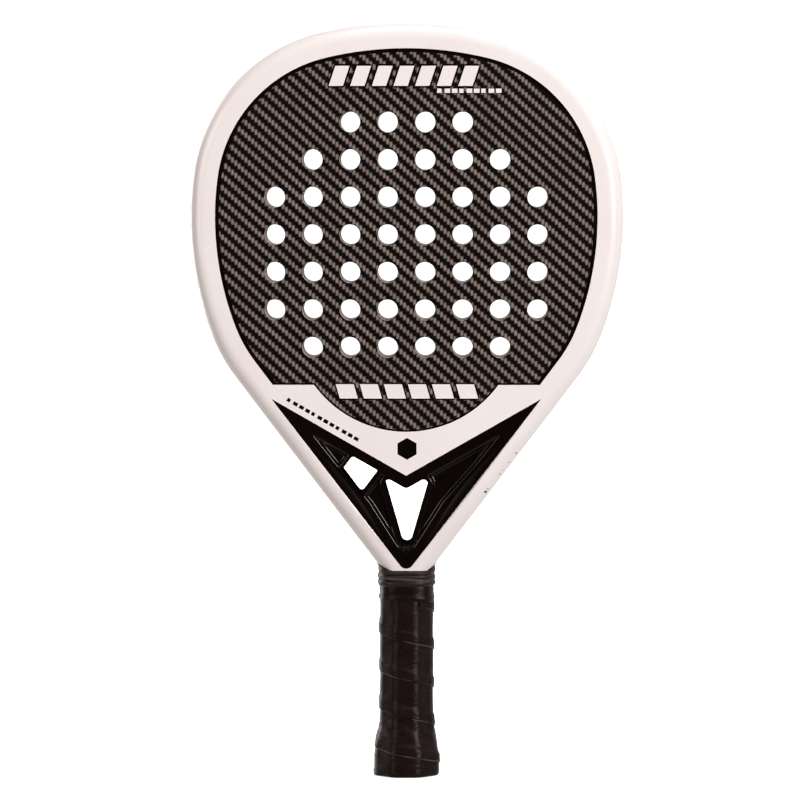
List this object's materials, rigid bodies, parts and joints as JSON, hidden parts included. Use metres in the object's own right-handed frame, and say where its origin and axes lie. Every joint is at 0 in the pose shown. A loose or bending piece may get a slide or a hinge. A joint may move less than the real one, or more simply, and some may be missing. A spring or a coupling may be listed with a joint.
{
  "type": "padel racket",
  "caption": "Padel racket with a drop-shaped perforated head in a hollow tube frame, an open V throat with an asymmetric web, and a wound flared handle.",
  "frame": {"origin": "middle of the butt end, on the plane that the racket stands on", "axes": "+Z from the butt to the crown, front face towards -Y, X across the head"},
  "size_m": [0.26, 0.0432, 0.454],
  "materials": {
    "painted_laminate": "white gloss paint and clear coat over fibre laminate",
    "carbon_face": "twill carbon weave under clear coat, printed border",
    "eva_foam": "fine closed-cell foam, drilled",
    "black_gloss": "glossy black moulding",
    "handle_foam": "moulded rigid foam",
    "cap_plastic": "fine textured moulding",
    "steel": "bright drawn steel",
    "cushion_grip": "soft foamed tape",
    "overgrip": "smooth wound polyurethane tape, slightly worn",
    "tape": "thin stretched tape with a satin shine",
    "collar_rubber": "ridged satin rubber"
  },
  "bodies": {
    "root": {"frame_tube": "painted_laminate", "front_face": "carbon_face", "back_face": "carbon_face", "eva_core": "eva_foam", "bridge_bar": "black_gloss", "throat_web": "black_gloss", "handle_filler": "handle_foam", "handle_pallet_front": "handle_foam", "handle_pallet_back": "handle_foam", "butt_cap": "cap_plastic", "butt_cap_tack_front": "steel", "butt_cap_tack_back": "steel", "base_grip": "cushion_grip", "overgrip": "overgrip", "finishing_tape": "tape", "neck_collar": "collar_rubber"}
  },
  "joints": []
}
